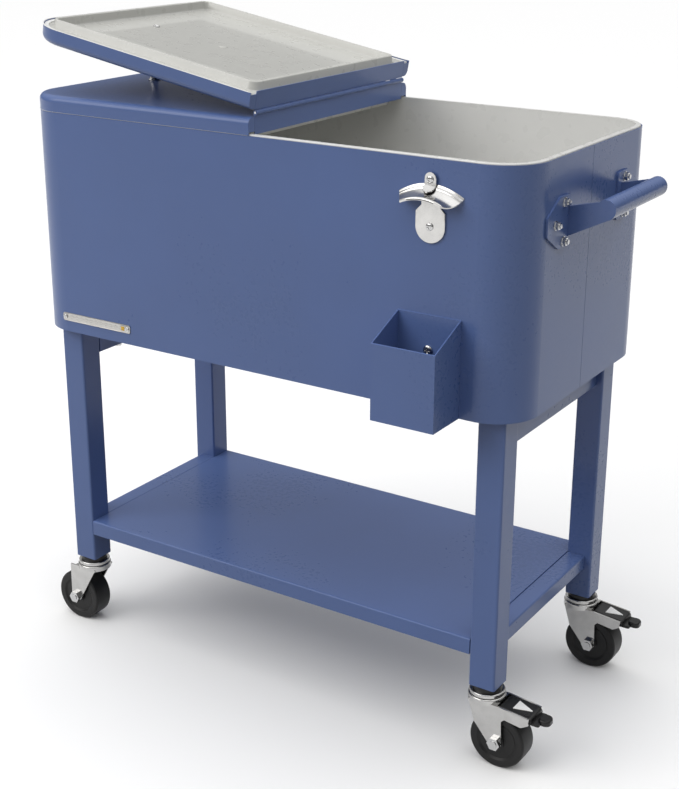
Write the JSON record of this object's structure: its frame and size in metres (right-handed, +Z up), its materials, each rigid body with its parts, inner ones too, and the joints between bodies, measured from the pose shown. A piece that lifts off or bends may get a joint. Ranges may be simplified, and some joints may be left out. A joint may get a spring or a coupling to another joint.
{
  "type": "rolling patio cooler cart",
  "caption": "Insulated rolling patio cooler cart with a split folding lid, bottle opener, cap catcher, push handle, lower shelf and swivel casters.",
  "frame": {"origin": "middle of the cart's footprint on the floor, its brakes, grip and cap catcher included", "axes": "+X towards the push handle along the tub's length, +Y towards the back, +Z up"},
  "size_m": [0.8702, 0.457, 0.9375],
  "materials": {
    "blue_paint": "semi-gloss powder coat",
    "liner_plastic": "smooth moulded",
    "foam_core": "poured foam",
    "seal_rubber": "soft white",
    "bright_chrome": "bright",
    "zinc_bolt": "zinc plated",
    "trim_metal": "brushed",
    "drain_white": "moulded",
    "wheel_rubber": "satin",
    "black_plastic": "satin moulded"
  },
  "bodies": {
    "cart": {"tub_skin": "blue_paint", "tub_base": "blue_paint", "tub_liner": "liner_plastic", "tub_foam": "foam_core", "drain_spout": "drain_white", "drain_nut": "drain_white", "leg_front_left": "blue_paint", "leg_front_right": "blue_paint", "leg_back_left": "blue_paint", "leg_back_right": "blue_paint", "upper_rail_left": "blue_paint", "upper_rail_right": "blue_paint", "lower_rail_left": "blue_paint", "lower_rail_right": "blue_paint", "shelf": "blue_paint", "frame_bolts": "zinc_bolt", "handle_bracket_front": "blue_paint", "handle_bracket_back": "blue_paint", "handle_grip": "blue_paint", "handle_bolts": "zinc_bolt", "opener_body": "bright_chrome", "opener_screws": "zinc_bolt", "cap_catcher": "blue_paint", "catcher_bolts": "zinc_bolt", "trim_plate": "trim_metal", "trim_screws": "zinc_bolt", "leg_inserts": "black_plastic", "caster_races": "bright_chrome"},
    "lid_left": {"lid_left_skin": "blue_paint", "lid_left_foam": "foam_core", "lid_left_liner": "liner_plastic", "lid_left_gasket": "seal_rubber", "lid_left_knob": "bright_chrome", "lid_left_knob_screw": "zinc_bolt", "lid_left_hinge_leaf": "blue_paint", "hinge_pin": "zinc_bolt"},
    "lid_right": {"lid_right_skin": "blue_paint", "lid_right_foam": "foam_core", "lid_right_liner": "liner_plastic", "lid_right_gasket": "seal_rubber", "lid_right_knob": "bright_chrome", "lid_right_knob_screw": "zinc_bolt", "lid_right_hinge_leaf": "blue_paint"},
    "drain_cap": {"drain_cap": "drain_white"},
    "fork_front_left": {"caster_fork_front_left": "bright_chrome", "caster_axle_front_left": "zinc_bolt"},
    "wheel_front_left": {"caster_wheel_front_left": "wheel_rubber"},
    "fork_back_left": {"caster_fork_back_left": "bright_chrome", "caster_axle_back_left": "zinc_bolt"},
    "wheel_back_left": {"caster_wheel_back_left": "wheel_rubber"},
    "fork_front_right": {"caster_fork_front_right": "bright_chrome", "caster_axle_front_right": "zinc_bolt", "brake_plate_front_right": "black_plastic"},
    "wheel_front_right": {"caster_wheel_front_right": "wheel_rubber"},
    "pedal_front_right": {"brake_pedal_front_right": "black_plastic"},
    "fork_back_right": {"caster_fork_back_right": "bright_chrome", "caster_axle_back_right": "zinc_bolt", "brake_plate_back_right": "black_plastic"},
    "wheel_back_right": {"caster_wheel_back_right": "wheel_rubber"},
    "pedal_back_right": {"brake_pedal_back_right": "black_plastic"}
  },
  "joints": [
    {"name": "left_lid_lift", "type": "slide", "parent": "cart", "child": "lid_left", "axis": [0, 0, 1], "range_m": [0, 0.12]},
    {"name": "right_lid_hinge", "type": "hinge", "parent": "lid_left", "child": "lid_right", "pos_m": [-0.01755, 0.032, 0.8402], "axis": [0, 1, 0], "range_deg": [0, 170]},
    {"name": "drain_cap_unscrew", "type": "slide", "parent": "cart", "child": "drain_cap", "axis": [-1, 0, 0], "range_m": [0, 0.05]},
    {"name": "swivel_front_left", "type": "hinge", "parent": "cart", "child": "fork_front_left", "pos_m": [-0.36805, -0.121, 0.1], "axis": [0, 0, 1], "continuous": true},
    {"name": "spin_front_left", "type": "hinge", "parent": "fork_front_left", "child": "wheel_front_left", "pos_m": [-0.39205, -0.121, 0.04], "axis": [0, 1, 0], "continuous": true},
    {"name": "swivel_back_left", "type": "hinge", "parent": "cart", "child": "fork_back_left", "pos_m": [-0.36805, 0.185, 0.1], "axis": [0, 0, 1], "continuous": true},
    {"name": "spin_back_left", "type": "hinge", "parent": "fork_back_left", "child": "wheel_back_left", "pos_m": [-0.39205, 0.185, 0.04], "axis": [0, 1, 0], "continuous": true},
    {"name": "swivel_front_right", "type": "hinge", "parent": "cart", "child": "fork_front_right", "pos_m": [0.32695, -0.121, 0.1], "axis": [0, 0, 1], "continuous": true},
    {"name": "spin_front_right", "type": "hinge", "parent": "fork_front_right", "child": "wheel_front_right", "pos_m": [0.35095, -0.121, 0.04], "axis": [0, 1, 0], "continuous": true},
    {"name": "brake_front_right", "type": "hinge", "parent": "fork_front_right", "child": "pedal_front_right", "pos_m": [0.38895, -0.121, 0.083], "axis": [0, 1, 0], "range_deg": [0, 12]},
    {"name": "swivel_back_right", "type": "hinge", "parent": "cart", "child": "fork_back_right", "pos_m": [0.32695, 0.185, 0.1], "axis": [0, 0, 1], "continuous": true},
    {"name": "spin_back_right", "type": "hinge", "parent": "fork_back_right", "child": "wheel_back_right", "pos_m": [0.35095, 0.185, 0.04], "axis": [0, 1, 0], "continuous": true},
    {"name": "brake_back_right", "type": "hinge", "parent": "fork_back_right", "child": "pedal_back_right", "pos_m": [0.38895, 0.185, 0.083], "axis": [0, 1, 0], "range_deg": [0, 12]}
  ]
}
